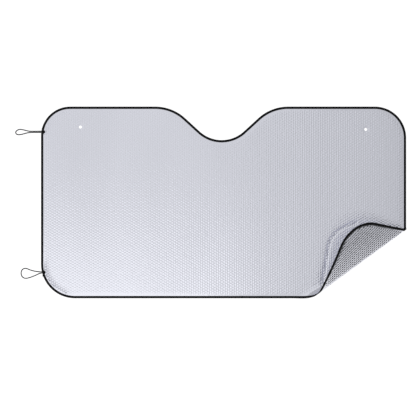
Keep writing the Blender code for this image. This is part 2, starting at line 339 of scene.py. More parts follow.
# %% Group tools
def new_group(name, output, **inputs):
    """An empty node group: a vector and some numbers go in, and one number comes out."""
    group = bpy.data.node_groups.new(name, "ShaderNodeTree")
    group.interface.new_socket("Vector", in_out="INPUT", socket_type="NodeSocketVector")
    for label, value in inputs.items():
        made = group.interface.new_socket(label, in_out="INPUT", socket_type="NodeSocketFloat")
        made.default_value = value
    group.interface.new_socket(output, in_out="OUTPUT", socket_type="NodeSocketFloat")
    start = group.nodes.new("NodeGroupInput")
    end = group.nodes.new("NodeGroupOutput")
    return group, start, end


def math_node(tree, operation, *values):
    """One step of arithmetic on numbers or sockets."""
    node = tree.nodes.new("ShaderNodeMath")
    node.operation = operation
    for socket, value in zip(node.inputs, values):
        if isinstance(value, (int, float)):
            socket.default_value = value
        else:
            tree.links.new(value, socket)
    return node.outputs[0]


def noise_node(tree, vector, scale, detail):
    """Cloudy noise between 0 and 1, at a scale that comes from a socket."""
    node = tree.nodes.new("ShaderNodeTexNoise")
    node.inputs["Detail"].default_value = detail
    tree.links.new(vector, node.inputs["Vector"])
    tree.links.new(scale, node.inputs["Scale"])
    return node.outputs["Fac"]


# %% Creases
RIDGES_FINER = 6.0
RIDGE_HEIGHT = 0.12


def crease_group():
    """Folds of a thin film: soft swells from one noise and small sharp ridges from another."""
    group, start, end = new_group("film creases", "Height", Scale=60.0)
    coarse = noise_node(group, start.outputs["Vector"], start.outputs["Scale"], 1.0)
    fine_scale = math_node(group, "MULTIPLY", start.outputs["Scale"], RIDGES_FINER)
    fine = noise_node(group, start.outputs["Vector"], fine_scale, 2.0)
    ridged = math_node(group, "ABSOLUTE", math_node(group, "SUBTRACT", fine, 0.5))
    height = math_node(group, "ADD", coarse, math_node(group, "MULTIPLY", ridged, RIDGE_HEIGHT))
    group.links.new(height, end.inputs["Height"])
    return group


film_creases = crease_group()
print("node group:", film_creases.name)


# %% Weave
CROSSING_HEIGHT = 0.5


def weave_group():
    """Crossing threads: two trains of round ridges, one along and one across."""
    group, start, end = new_group("weave", "Height", Thread=0.0005)
    split = group.nodes.new("ShaderNodeSeparateXYZ")
    group.links.new(start.outputs["Vector"], split.inputs[0])
    waves = []
    for axis in ("X", "Y"):
        turns = math_node(group, "DIVIDE", split.outputs[axis], start.outputs["Thread"])
        waves.append(math_node(group, "SINE", math_node(group, "MULTIPLY", turns, math.pi)))
    crossed = math_node(group, "MULTIPLY", waves[0], waves[1])
    ribs = math_node(group, "ABSOLUTE", waves[0])
    raised = math_node(group, "MULTIPLY", crossed, CROSSING_HEIGHT)
    group.links.new(math_node(group, "ADD", raised, ribs), end.inputs["Height"])
    return group


weave = weave_group()
print("node group:", weave.name)


# %% Drift
def drift_group():
    """A slow change between two values, for tone that wanders over a surface."""
    group, start, end = new_group("drift", "Value", Scale=2.0, Low=0.0, High=1.0)
    slow = noise_node(group, start.outputs["Vector"], start.outputs["Scale"], 2.0)
    spread = math_node(group, "SUBTRACT", start.outputs["High"], start.outputs["Low"])
    change = math_node(group, "MULTIPLY", slow, spread)
    group.links.new(math_node(group, "ADD", change, start.outputs["Low"]), end.inputs["Value"])
    return group


drift = drift_group()
print("node group:", drift.name)


# %% Material tools
def new_material(name, colour, roughness, metallic):
    """A plain finish, with its nodes and its shader for what is added later."""
    material = bpy.data.materials.new(name)
    material.use_nodes = True
    tree = material.node_tree
    shader = tree.nodes["Principled BSDF"]
    shader.inputs["Base Color"].default_value = (*colour, 1.0)
    shader.inputs["Roughness"].default_value = roughness
    shader.inputs["Metallic"].default_value = metallic
    return material, tree, shader


def place_group(tree, group, vector, **values):
    """Places a node group in a finish, with its own values."""
    node = tree.nodes.new("ShaderNodeGroup")
    node.node_tree = group
    tree.links.new(vector, node.inputs["Vector"])
    for label, value in values.items():
        node.inputs[label].default_value = value
    return node.outputs[0]


def uv_vector(tree, stretch=(1.0, 1.0, 1.0)):
    """The place on the flat sheet, in metres, stretched if need be."""
    place = tree.nodes.new("ShaderNodeUVMap")
    place.uv_map = "sheet"
    mapping = tree.nodes.new("ShaderNodeMapping")
    mapping.inputs["Scale"].default_value = stretch
    tree.links.new(place.outputs[0], mapping.inputs["Vector"])
    return mapping.outputs[0]


def add_bump(tree, shader, height, distance):
    """Fine relief from a height, which is as deep as the distance where it is 1."""
    bump = tree.nodes.new("ShaderNodeBump")
    bump.inputs["Distance"].default_value = distance
    tree.links.new(height, bump.inputs["Height"])
    tree.links.new(bump.outputs[0], shader.inputs["Normal"])


# %% [markdown]
# ## Foil
#
# Metallised film is a metal to the eye: it has no colour of its own but a faint cool tint, and
# all that it shows is reflected. Its fine creases come from a bump. Its gloss and its tone
# drift a little over the sheet, the tone more across the roll than along it. The back film is
# the same foil with its colour made a little greyer: painted shade on the curled corner.

# %% Foil material
FOIL_COLOUR = (0.835, 0.84, 0.905)
# The back film's colour is the front foil's made darker, which paints shade on the curled corner.
BACK_SHADED_COLOUR = (0.75, 0.755, 0.81)
FOIL_ROUGHNESS = 0.22
FOIL_ROUGHNESS_DRIFT = {"Scale": 9.0, "Low": 0.17, "High": 0.28}
FOIL_TONE_DRIFT = {"Scale": 3.0, "Low": 0.90, "High": 1.06}
TONE_STRETCH = (1.0, 0.25, 1.0)
FOIL_CREASES = {"Scale": 90.0}
FOIL_CREASE_DEPTH = 0.0006


def foil_material(name, colour):
    """Metallised film in one tint."""
    material, tree, shader = new_material(name, colour, FOIL_ROUGHNESS, 1.0)
    vector = uv_vector(tree)
    rough = place_group(tree, drift, vector, **FOIL_ROUGHNESS_DRIFT)
    tree.links.new(rough, shader.inputs["Roughness"])
    tone = place_group(tree, drift, uv_vector(tree, TONE_STRETCH), **FOIL_TONE_DRIFT)
    tint = tree.nodes.new("ShaderNodeMix")
    tint.data_type = "RGBA"
    tint.blend_type = "MULTIPLY"
    tint.inputs["Factor"].default_value = 1.0
    tint.inputs["A"].default_value = (*colour, 1.0)
    tree.links.new(tone, tint.inputs["B"])
    tree.links.new(tint.outputs["Result"], shader.inputs["Base Color"])
    height = place_group(tree, film_creases, vector, **FOIL_CREASES)
    add_bump(tree, shader, height, FOIL_CREASE_DEPTH)
    return material


foil = foil_material("metallised film", FOIL_COLOUR)
# A darker copy of the same foil: painted shade for the curled corner that shows the back.
shaded_back_foil = foil_material("metallised back film with painted shade", BACK_SHADED_COLOUR)
print("materials:", foil.name, "and", shaded_back_foil.name)

# %% [markdown]
# ## Bubbles
#
# The bubbles stand in columns, each column half a step above the next. One bubble is a
# hexagon of film with its top inset and raised, and its foot is marked sharp, because two
# bubbles meet there in a weld. Three Array modifiers lay out the field: a column, its shifted
# neighbour, and then all the pairs. Cells outside the rim are deleted, and those that cross it
# are pulled in under the tape. The back film, which the curled corner shows, has taller
# bubbles than the front one.

# %% Bubble sizes
COLUMN_STEP = 0.00869
BUBBLE_STEP = 0.0104
FRONT_RISE = 0.0006
BACK_RISE = 0.0012
BUBBLE_TOP_SHARE = 0.62
COLUMNS = 162
ROWS = 73
FACES_PER_BUBBLE = 7
FOOT_MERGE = 0.0002


def bubble_mesh(rise):
    """One bubble: a flat hexagonal foot and a smaller, raised hexagon on top."""
    radius = COLUMN_STEP / 1.5
    foot = radius * math.cos(math.pi / 6)
    shape = bmesh.new()
    bmesh.ops.create_circle(shape, cap_ends=True, segments=6, radius=radius)
    top = shape.faces[:]
    if top[0].normal.z < 0:
        bmesh.ops.reverse_faces(shape, faces=top)
    bmesh.ops.rotate(shape, verts=shape.verts, matrix=Matrix.Rotation(math.pi / 6, 3, "Z"))
    bmesh.ops.inset_region(
        shape, faces=top, thickness=foot * (1 - BUBBLE_TOP_SHARE),
        use_boundary=True, use_even_offset=True,
    )
    bmesh.ops.translate(shape, verts=top[0].verts, vec=(0.0, 0.0, rise))
    bmesh.ops.scale(shape, verts=shape.verts, vec=(1.0, BUBBLE_STEP / (2 * foot), 1.0))
    for edge in shape.edges:
        edge.smooth = not edge.is_boundary
    mesh = bpy.data.meshes.new("bubble")
    shape.to_mesh(mesh)
    shape.free()
    return mesh


def bubble_field(rise):
    """All the bubbles of one film, as loose cells on a rectangle larger than the sheet."""
    maker = add_maker("bubble_maker", bubble_mesh(rise))
    first = (-COLUMN_STEP * (COLUMNS - 1) / 2, -BUBBLE_STEP * (ROWS - 0.5) / 2, 0.0)
    maker.data.transform(Matrix.Translation(first))
    steps = (
        (ROWS, (0.0, BUBBLE_STEP, 0.0)),
        (2, (COLUMN_STEP, BUBBLE_STEP / 2, 0.0)),
        (COLUMNS // 2, (2 * COLUMN_STEP, 0.0, 0.0)),
    )
    for count, step in steps:
        array = maker.modifiers.new("lay out", "ARRAY")
        array.count = count
        array.use_relative_offset = False
        array.use_constant_offset = True
        array.constant_offset_displace = step
    return as_mesh(maker)


print(f"bubbles {COLUMN_STEP * 1000:.2f} mm apart, {COLUMNS} columns of {ROWS}")


# %% Trim the bubbles
KEEP_DEPTH = 0.0015
FILM_EDGE = 0.0020
HOLE_GAP = 0.0085
HOLE_REACH = 0.020
HOLE_PRESS = 0.0100
HOLE_SEGMENTS = 36
HOLE_CUTS = 2


def in_order(items):
    """Each item once, in the order of the list, so that every run gives the same mesh."""
    return list(dict.fromkeys(items))


def near_hole(point):
    """The cup hole next to a point, and how far it is from the hole's middle."""
    hole = min(CUP_HOLES, key=lambda item: (point.xy - item).length)
    return hole, (point.xy - hole).length


def drop_cells(shape):
    """Deletes the bubbles beyond the rim and those that the punch of a cup hole burst."""
    faces = shape.faces[:]
    cells = [faces[i:i + FACES_PER_BUBBLE] for i in range(0, len(faces), FACES_PER_BUBBLE)]
    dropped = []
    for cell in cells:
        middle = max(cell, key=lambda face: len(face.verts)).calc_center_median()
        if near_hole(middle)[1] < HOLE_GAP or rim_depth(middle.x, middle.y)[0] < KEEP_DEPTH:
            dropped += cell
    bmesh.ops.delete(shape, geom=dropped, context="FACES")
    print(len(cells) - len(dropped) // FACES_PER_BUBBLE, "bubbles kept")


def open_hole(shape, hole):
    """Fills the gap round a cup hole with a flat ring of film that ends in a short wall."""
    gap = [
        edge for edge in shape.edges
        if edge.is_boundary and all((vert.co.xy - hole).length < HOLE_REACH for vert in edge.verts)
    ]
    place = Matrix.Translation((*hole, 0.0))
    circle = bmesh.ops.create_circle(
        shape, segments=HOLE_SEGMENTS, radius=HOLE_RADIUS, matrix=place,
    )
    mouth = in_order(edge for vert in circle["verts"] for edge in vert.link_edges)
    ring = bmesh.ops.bridge_loops(shape, edges=gap + mouth)
    spokes = [edge for edge in ring["edges"] if edge not in mouth and edge not in gap]
    bmesh.ops.subdivide_edges(shape, edges=spokes, cuts=HOLE_CUTS, use_grid_fill=True)
    for edge in mouth:
        edge.smooth = False
    wall = bmesh.ops.extrude_edge_only(shape, edges=mouth)["geom"]
    for item in wall:
        if isinstance(item, bmesh.types.BMVert):
            item.co.z = -SHEET_THICKNESS


# %% [markdown]
# ## How full the bubbles are
#
# The film isn't the same all over. The sewn rim pulls at the bubbles beside it, so the grooves
# between them are deeper near the side rims and at the lower left corner. A shallow crease
# runs beside the curled corner. Both are heights given to the vertices of the film, so they
# are real relief and cast real shadows.

# %% Crease beside the corner
CREASE_WIDTH = 0.010
CREASE_DEPTH = 0.0015
CREASE_FULLNESS = 2.0
CREASE_STEP = 0.004
CREASE_ROUTE = (
    (0.378, -0.318), (0.384, -0.280), (0.390, -0.245), (0.396, -0.205), (0.402, -0.170),
    (0.409, -0.142), (0.427, -0.119), (0.449, -0.100), (0.481, -0.086), (0.510, -0.075),
)
CREASE_LEFT = 0.34
CREASE_TOP = -0.04

crease_line = np.array(CREASE_ROUTE)
crease_length = lengths_along(crease_line)[-1]
crease = points_along(crease_line, np.arange(0.0, crease_length, CREASE_STEP))
crease_tree = tree_of([(x, y, 0.0) for x, y in crease])
print(f"crease {crease_length * 1000:.0f} mm long")


def creased(point):
    """How much a point of the sheet belongs to the crease: 1 on its line, 0 beside it."""
    if point.x < CREASE_LEFT or point.y > CREASE_TOP:
        return 0.0
    return 1 - smoothstep(crease_tree.find((point.x, point.y, 0.0))[2] / CREASE_WIDTH)


# %% Lay the film
FILM_SWELL_WIDTH = 0.014
FULL_WIDTH = 0.035
SIDE_START = 0.56
SIDE_BLEND = 0.08
SIDE_FULLNESS = 0.6
CORNER_START = -0.20
CORNER_BLEND = 0.06
CORNER_FULLNESS = 1.5


def fullness(point, depth):
    """How much deeper the grooves are near the side rims, most of all at the lower left."""
    near = 1 - smoothstep((depth - TAPE_WIDTH) / FULL_WIDTH)
    side = smoothstep((abs(point.x) - SIDE_START) / SIDE_BLEND)
    corner = smoothstep((CORNER_START - point.y) / CORNER_BLEND) if point.x < 0 else 0.0
    return 1 + near * side * (SIDE_FULLNESS + CORNER_FULLNESS * corner)


def seat_film(shape, rise):
    """Gives the film its height: full bubbles inside, pressed flat under the tape."""
    rim_top = MIDDLE + RIM_THICKNESS / 2
    for vert in shape.verts:
        if vert.co.z < -MIDDLE:  # the foot of a cup hole's wall
            vert.co.z = MIDDLE
            continue
        depth, index = rim_depth(vert.co.x, vert.co.y)
        if depth < FILM_EDGE:
            vert.co.xy -= rim[index][1] * (FILM_EDGE - depth)
        swell = smoothstep((depth - TAPE_WIDTH) / FILM_SWELL_WIDTH)
        away = near_hole(vert.co)[1]
        if away < HOLE_REACH:
            swell *= smoothstep((away - HOLE_RADIUS) / HOLE_PRESS)
        fold = creased(vert.co)
        full = fullness(vert.co, depth) + CREASE_FULLNESS * fold
        groove = (rise - vert.co.z) * full * min(1.0, full * swell)
        vert.co.z = rim_top + swell * (SHEET_THICKNESS - rim_top - CREASE_DEPTH * fold) - groove


FILM_CUTS = 8


def refine_roll(shape):
    """Cuts the film along lines of the fan, looking only at the bubbles next to each line."""
    for i in range(FILM_CUTS + 1):
        angle = TIGHT_FAN * i / FILM_CUTS
        normal = fan_normal(angle)
        near = []
        for face in shape.faces:
            reach = np.array(face.calc_center_median()) - APEX
            if abs(reach @ normal) < 2 * BUBBLE_STEP and reach @ FAN_ALONG > 0:
                near.append(face)
        geometry = near[:]
        for face in near:
            geometry += [*face.verts, *face.edges]
        cut_on_fan(shape, in_order(geometry), normal)


def film_mesh(rise):
    """One film with bubbles of a given height, made flat as the front of the sheet."""
    field = bubble_field(rise)
    shape = bmesh.new()
    shape.from_mesh(field)
    bpy.data.meshes.remove(field)
    drop_cells(shape)
    bmesh.ops.remove_doubles(shape, verts=shape.verts, dist=FOOT_MERGE)
    for hole in CUP_HOLES:
        open_hole(shape, hole)
    bmesh.ops.recalc_face_normals(shape, faces=shape.faces)
    if sum(face.normal.z for face in shape.faces) < 0:
        bmesh.ops.reverse_faces(shape, faces=shape.faces)
    seat_film(shape, rise)
    refine_roll(shape)
    mesh = bpy.data.meshes.new("film")
    shape.to_mesh(mesh)
    shape.free()
    mesh.shade_smooth()
    return mesh


def turn_over(film):
    """Turns a film over about the middle of the sheet, which makes it the back one."""
    shape = bmesh.new()
    shape.from_mesh(film)
    for vert in shape.verts:
        vert.co.z = SHEET_THICKNESS - vert.co.z
    bmesh.ops.reverse_faces(shape, faces=shape.faces)
    shape.to_mesh(film)
    shape.free()


front_mesh = film_mesh(FRONT_RISE)
back_mesh = film_mesh(BACK_RISE)
turn_over(back_mesh)
for film in (front_mesh, back_mesh):
    write_uv(film, points_of(film)[:, :2].copy())
    bend_mesh(film)
front_film = add_piece("front_film", front_mesh, foil, "bubble_foil", "shade_panel")
# The back film wears the darker foil copy, painted shade on the curled corner.
back_film = add_piece("back_film", back_mesh, shaded_back_foil, "bubble_foil", "shade_panel")
for film in (front_film, back_film):
    film.data.calc_loop_triangles()
    print(film.name, len(film.data.loop_triangles), "triangles")

# %% [markdown]
# ## Edge tape
#
# A woven tape is folded over the rim, so its section is a flat U with a round back and a
# shallow groove where the thread pulls it down. The section is carried round the rim as the
# bevel of a curve, and the result is bent with the corner.

# %% Tape material
BLACK = (0.006, 0.006, 0.007)
TAPE_SHEEN = 0.15
TAPE_ROUGHNESS = 0.72
TAPE_ROUGHNESS_DRIFT = {"Scale": 60.0, "Low": 0.62, "High": 0.86}
TAPE_THREAD = 0.0006
TAPE_RELIEF = 0.00012


def tape_material():
    """Dull black woven tape."""
    material, tree, shader = new_material("woven tape", BLACK, TAPE_ROUGHNESS, 0.0)
    shader.inputs["Specular IOR Level"].default_value = TAPE_SHEEN
    vector = uv_vector(tree)
    rough = place_group(tree, drift, vector, **TAPE_ROUGHNESS_DRIFT)
    tree.links.new(rough, shader.inputs["Roughness"])
    height = place_group(tree, weave, vector, Thread=TAPE_THREAD)
    add_bump(tree, shader, height, TAPE_RELIEF)
    return material


tape_black = tape_material()
print("material:", tape_black.name)

# %% Tape
STITCH_DEPTH = 0.0072
GROOVE = 0.00018
TAPE_STATION = 0.006
TAPE_CUTS = 24
FOLD_EDGE = math.radians(60)
FOLD_GAP = 0.0002


def tape_section():
    """The folded tape: x runs inward from the rim, y is the height above the middle."""
    top = TAPE_TOP - MIDDLE
    gap = RIM_THICKNESS / 2 + FOLD_GAP
    upper = [
        (TAPE_THICKNESS, 0.0), (TAPE_THICKNESS * 1.2, gap * 0.7), (0.0016, gap),
        (TAPE_WIDTH, gap), (TAPE_WIDTH, top - 0.00025), (TAPE_WIDTH - 0.0002, top - 0.00005),
        (STITCH_DEPTH + 0.0008, top), (STITCH_DEPTH, top - GROOVE), (STITCH_DEPTH - 0.0008, top),
        (0.0030, top), (0.0012, top - 0.0001), (0.0004, top - 0.00055), (0.00008, top * 0.45),
    ]
    lower = [(x, -y) for x, y in reversed(upper[1:])]
    return upper + [(0.0, 0.0)] + lower


def closed_curve(name, points):
    """A flat closed curve through the points."""
    curve = bpy.data.curves.new(name, "CURVE")
    curve.dimensions = "2D"
    spline = curve.splines.new("POLY")
    spline.points.add(len(points) - 1)
    for place, (x, y) in zip(spline.points, points):
        place.co = (x, y, 0.0, 1.0)
    spline.use_cyclic_u = True
    return add_maker(name, curve)


def along_rim(mesh):
    """UV of a piece on the rim: metres along it, and metres round the folded tape."""
    points = points_of(mesh)
    uv = np.empty((len(points), 2))
    for i, (x, y, z) in enumerate(points):
        depth, index = rim_depth(x, y)
        side = 1 if z >= MIDDLE else -1
        uv[i] = (index * rim_length / len(rim), side * (depth + abs(z - MIDDLE)))
    return uv


def close_seam(mesh):
    """Faces where the rim's length starts again at nought get its full length instead."""
    layer = mesh.uv_layers["sheet"]
    uv = np.empty(len(mesh.loops) * 2)
    layer.data.foreach_get("uv", uv)
    uv = uv.reshape(-1, 2)
    for face in mesh.polygons:
        corners = list(face.loop_indices)
        along = uv[corners, 0]
        if along.max() - along.min() > rim_length / 2:
            uv[corners, 0] = np.where(along < rim_length / 2, along + rim_length, along)
    layer.data.foreach_set("uv", uv.ravel())


def refine_tape(mesh):
    """Cuts the flat tape along lines of the fan, all through the tight roll."""
    shape = bmesh.new()
    shape.from_mesh(mesh)
    for i in range(TAPE_CUTS + 1):
        everything = shape.verts[:] + shape.edges[:] + shape.faces[:]
        cut_on_fan(shape, everything, fan_normal(TIGHT_FAN * i / TAPE_CUTS))
    shape.to_mesh(mesh)
    shape.free()


def tape_mesh():
    """The folded tape, carried round the rim and bent with the corner."""
    section = closed_curve("section_maker", tape_section())
    path = closed_curve("tape_maker", [point for point, _, _ in walk(outline(), TAPE_STATION)[0]])
    path.data.bevel_mode = "OBJECT"
    path.data.bevel_object = section
    mesh = as_mesh(path)
    bpy.data.objects.remove(section, do_unlink=True)
    mesh.transform(Matrix.Translation((0.0, 0.0, MIDDLE)))
    merge_and_turn(mesh)
    refine_tape(mesh)
    while mesh.uv_layers:
        mesh.uv_layers.remove(mesh.uv_layers[0])
    write_uv(mesh, along_rim(mesh))
    close_seam(mesh)
    mesh.shade_smooth()
    mesh.set_sharp_from_angle(angle=FOLD_EDGE)
    bend_mesh(mesh)
    return mesh


edge_tape = add_piece("edge_tape", tape_mesh(), tape_black, "binding_tape", "edge_binding")
print(edge_tape.name, len(edge_tape.data.polygons), "faces")

# %% [markdown]
# ## Stitches
#
# A lockstitch shows as short lengths of thread in a row on both faces. One stitch is a small
# ball drawn out long and thin. Copies of it follow the groove of the tape all round the rim.

# %% Stitches
STITCH_PITCH = 0.0033
STITCH_LENGTH = 0.0026
STITCH_WIDTH = 0.0005
STITCH_LIFT = 0.15 * STITCH_WIDTH
THREAD_COLOUR = (0.016, 0.016, 0.018)
THREAD_ROUGHNESS = 0.55
THREAD_PLY = 0.0002
THREAD_RELIEF = 0.00005


def thread_material():
    """Dark sewing thread, a little lighter than the tape."""
    material, tree, shader = new_material("sewing thread", THREAD_COLOUR, THREAD_ROUGHNESS, 0.0)
    height = place_group(tree, weave, uv_vector(tree), Thread=THREAD_PLY)
    add_bump(tree, shader, height, THREAD_RELIEF)
    return material


def stitch_mesh():
    """One stitch, lying along x."""
    shape = bmesh.new()
    bmesh.ops.create_uvsphere(shape, u_segments=6, v_segments=3, radius=0.5)
    bmesh.ops.rotate(shape, verts=shape.verts, matrix=Matrix.Rotation(math.pi / 2, 3, "Y"))
    bmesh.ops.scale(shape, verts=shape.verts, vec=(STITCH_LENGTH, STITCH_WIDTH, STITCH_WIDTH))
    mesh = bpy.data.meshes.new("stitch")
    shape.to_mesh(mesh)
    shape.free()
    return mesh


def stitch_row():
    """Stitches all round the rim, on both faces of the tape."""
    one = stitch_mesh()
    shape = bmesh.new()
    height = TAPE_TOP - MIDDLE - GROOVE + STITCH_LIFT
    for point, outward, along in walk(outline(), STITCH_PITCH)[0]:
        x, y = point - outward * STITCH_DEPTH
        turn = Matrix.Rotation(math.atan2(along.y, along.x), 4, "Z")
        for side in (1, -1):
            copy = one.copy()
            copy.transform(Matrix.Translation((x, y, MIDDLE + side * height)) @ turn)
            shape.from_mesh(copy)
            bpy.data.meshes.remove(copy)
    mesh = bpy.data.meshes.new("stitches")
    shape.to_mesh(mesh)
    shape.free()
    mesh.shade_smooth()
    write_uv(mesh, points_of(mesh)[:, :2].copy())
    bend_mesh(mesh)
    return mesh


stitches = add_piece("binding_stitches", stitch_row(), thread_material(), "binding_tape")
print(stitches.name, len(stitches.data.polygons), "faces")

# %% [markdown]
# ## Elastic loops
#
# Each loop is a round elastic in a braided sleeve, knotted on the tape and lying on the
# ground. The routes are those of the CAD model. The braid is real relief on the tube: two
# trains of helices that cross.

# %% Cord sizes and routes
CORD_DIAMETER = 0.0040
GROUND_GAP = 0.0001
CORD_ON_GROUND = CORD_DIAMETER / 2 + GROUND_GAP
CORD_ON_TAPE = TAPE_TOP + CLEARANCE + CORD_DIAMETER / 2
KNOT_SIZE = Vector((0.0135, 0.0165, 0.0095))
KNOT_BASE = TAPE_TOP + CLEARANCE
KNOT_INSET = 0.0075
STRAND = 0.0022  # from the middle of a knot to each of its two strands
UPPER_KNOT = Vector((-LENGTH / 2 + 0.00123 + KNOT_INSET, 0.2706))
LOWER_KNOT = Vector((-LENGTH / 2 + 0.00373 + KNOT_INSET, -0.2685))
UPPER_ROUTE = [
    (-0.00705, STRAND, CORD_ON_TAPE),
    (-0.0105, STRAND, CORD_ON_TAPE),
    (-0.0165, STRAND, 0.0047),
    (-0.0220, STRAND, 0.0029),
    (-0.0285, STRAND, CORD_ON_GROUND),
    (-0.0400, STRAND, CORD_ON_GROUND),
    (-0.0520, 0.0024, CORD_ON_GROUND),
    (-0.0620, 0.0042, CORD_ON_GROUND),
    (-0.0740, 0.0072, CORD_ON_GROUND),
    (-0.0860, 0.0094, CORD_ON_GROUND),
    (-0.0955, 0.0082, CORD_ON_GROUND),
    (-0.1035, 0.0030, CORD_ON_GROUND),
    (-0.1056, -0.0035, CORD_ON_GROUND),
    (-0.1015, -0.0092, CORD_ON_GROUND),
    (-0.0920, -0.0108, CORD_ON_GROUND),
    (-0.0790, -0.0086, CORD_ON_GROUND),
    (-0.0660, -0.0050, CORD_ON_GROUND),
    (-0.0540, -0.0028, CORD_ON_GROUND),
    (-0.0400, -STRAND, CORD_ON_GROUND),
    (-0.0285, -STRAND, CORD_ON_GROUND),
    (-0.0220, -STRAND, 0.0029),
    (-0.0165, -STRAND, 0.0047),
    (-0.0105, -STRAND, CORD_ON_TAPE),
    (-0.00705, -STRAND, CORD_ON_TAPE),
]
LOWER_ROUTE = [
    (-0.00705, STRAND, CORD_ON_TAPE),
    (-0.0105, STRAND, CORD_ON_TAPE),
    (-0.0165, 0.0026, 0.0047),
    (-0.0220, 0.0032, 0.0029),
    (-0.0290, 0.0039, CORD_ON_GROUND),
    (-0.0410, 0.0063, CORD_ON_GROUND),
    (-0.0530, 0.0098, CORD_ON_GROUND),
    (-0.0640, 0.0143, CORD_ON_GROUND),
    (-0.0735, 0.0158, CORD_ON_GROUND),
    (-0.0820, 0.0118, CORD_ON_GROUND),
    (-0.0864, 0.0040, CORD_ON_GROUND),
    (-0.0872, -0.0060, CORD_ON_GROUND),
    (-0.0836, -0.0155, CORD_ON_GROUND),
    (-0.0760, -0.0212, CORD_ON_GROUND),
    (-0.0665, -0.0222, CORD_ON_GROUND),
    (-0.0540, -0.0192, CORD_ON_GROUND),
    (-0.0420, -0.0148, CORD_ON_GROUND),
    (-0.0310, -0.0103, CORD_ON_GROUND),
    (-0.0230, -0.0066, 0.0029),
    (-0.0170, -0.0038, 0.0047),
    (-0.0105, -STRAND, CORD_ON_TAPE),
    (-0.00705, -STRAND, CORD_ON_TAPE),
]


# %% Cord tools
CURVE_STEPS = 24


def smooth_points(route, spacing):
    """Evenly spaced points on a smooth curve through the route, none below the ground."""
    knots = [Vector(point) for point in route]
    knots = [2 * knots[0] - knots[1]] + knots + [2 * knots[-1] - knots[-2]]
    fine = []
    for a, b, c, d in zip(knots, knots[1:], knots[2:], knots[3:]):
        for t in (i / CURVE_STEPS for i in range(CURVE_STEPS)):
            swing = (c - a) + t * ((2 * a - 5 * b + 4 * c - d) + t * (3 * (b - c) + d - a))
            fine.append(b + 0.5 * t * swing)
    fine.append(knots[-2])
    for point in fine:
        point.z = max(point.z, CORD_ON_GROUND)
    line = np.array(fine)
    length = float(lengths_along(line)[-1])
    return points_along(line, np.linspace(0.0, length, round(length / spacing) + 1)), length


BRAID_STEP = 0.0006
BRAID_LOBES = 8
BRAID_PITCH = 0.0075
BRAID_RELIEF = 0.00009
CAP_REACH = 0.3 * CORD_DIAMETER
TUBE_RINGS = 14


def cord_tube(name, points, closed=False):
    """A plain round tube along the points, a little thinner than the cord with its braid."""
    curve = bpy.data.curves.new(name, "CURVE")
    curve.dimensions = "3D"
    curve.twist_mode = "MINIMUM"
    spline = curve.splines.new("POLY")
    spline.points.add(len(points) - 1)
    spline.points.foreach_set("co", np.column_stack([points, np.ones(len(points))]).ravel())
    spline.use_cyclic_u = closed
    curve.bevel_depth = CORD_DIAMETER / 2 - BRAID_RELIEF
    curve.bevel_resolution = TUBE_RINGS
    curve.use_fill_caps = not closed
    mesh = as_mesh(add_maker(name, curve))
    merge_and_turn(mesh)
    return mesh


print("cord routes:", len(UPPER_ROUTE), "and", len(LOWER_ROUTE), "points")


# %% Cord material
CORD_SHEEN = 0.2
CORD_ROUGHNESS = 0.66
CORD_ROUGHNESS_DRIFT = {"Scale": 300.0, "Low": 0.5, "High": 0.8}
YARN = {"Scale": 1400.0}
YARN_RELIEF = 0.00012


def cord_material():
    """Black braided elastic with fine fuzzy yarn."""
    material, tree, shader = new_material("braided elastic", BLACK, CORD_ROUGHNESS, 0.0)
    shader.inputs["Specular IOR Level"].default_value = CORD_SHEEN
    place = tree.nodes.new("ShaderNodeTexCoord").outputs["Object"]
    rough = place_group(tree, drift, place, **CORD_ROUGHNESS_DRIFT)
    tree.links.new(rough, shader.inputs["Roughness"])
    height = place_group(tree, film_creases, place, **YARN)
    add_bump(tree, shader, height, YARN_RELIEF)
    return material


elastic = cord_material()
print("material:", elastic.name)


# %% Braid
def braid(mesh, points):
    """Raises the braid on a tube: two trains of helices that cross, but not on its end caps."""
    tree = tree_of(points)
    for vert in mesh.vertices:
        place, i, far = tree.find(vert.co)
        if far < CAP_REACH:
            continue
        ahead = Vector(points[min(i + 1, len(points) - 1)] - points[max(i - 1, 0)]).normalized()
        side = ahead.cross((0.0, 0.0, 1.0))
        side = side.normalized() if side.length > 0.05 else Vector((1.0, 0.0, 0.0))
        rise = side.cross(ahead)
        away = vert.co - place
        angle = math.atan2(away.dot(rise), away.dot(side))
        turns = 2 * math.pi * i * BRAID_STEP / BRAID_PITCH
        relief = math.sin(BRAID_LOBES * (angle + turns / BRAID_LOBES * 2))
        relief *= math.sin(BRAID_LOBES * (angle - turns / BRAID_LOBES * 2))
        vert.co += away.normalized() * BRAID_RELIEF * relief
    mesh.update()


# %% Loops
def make_loop(name, knot, route):
    """A cord piece along its route from the knot, with its points and its length."""
    placed = [(knot.x + x, knot.y + y, z) for x, y, z in route]
    points, length = smooth_points(placed, BRAID_STEP)
    mesh = cord_tube(name, points)
    braid(mesh, points)
    mesh.shade_smooth()
    loop = add_piece(name + "_elastic", mesh, elastic, "elastic_cord", name)
    print(f"{name}: {length * 1000:.0f} mm of cord, {len(mesh.polygons)} faces")
    return loop, points, length


upper_loop, upper_points, upper_length = make_loop("upper_loop", UPPER_KNOT, UPPER_ROUTE)
lower_loop, lower_points, lower_length = make_loop("lower_loop", LOWER_KNOT, LOWER_ROUTE)

# %% [markdown]
# ## Knots
#
# The two ends of each elastic are tied in one overhand knot, which sits on the tape. A tight
# overhand knot is nearly a trefoil, so its line is that curve, pressed to the knot's size. The
# two cut ends leave it along the tape.

# %% Knots
TREFOIL_POINTS = 150


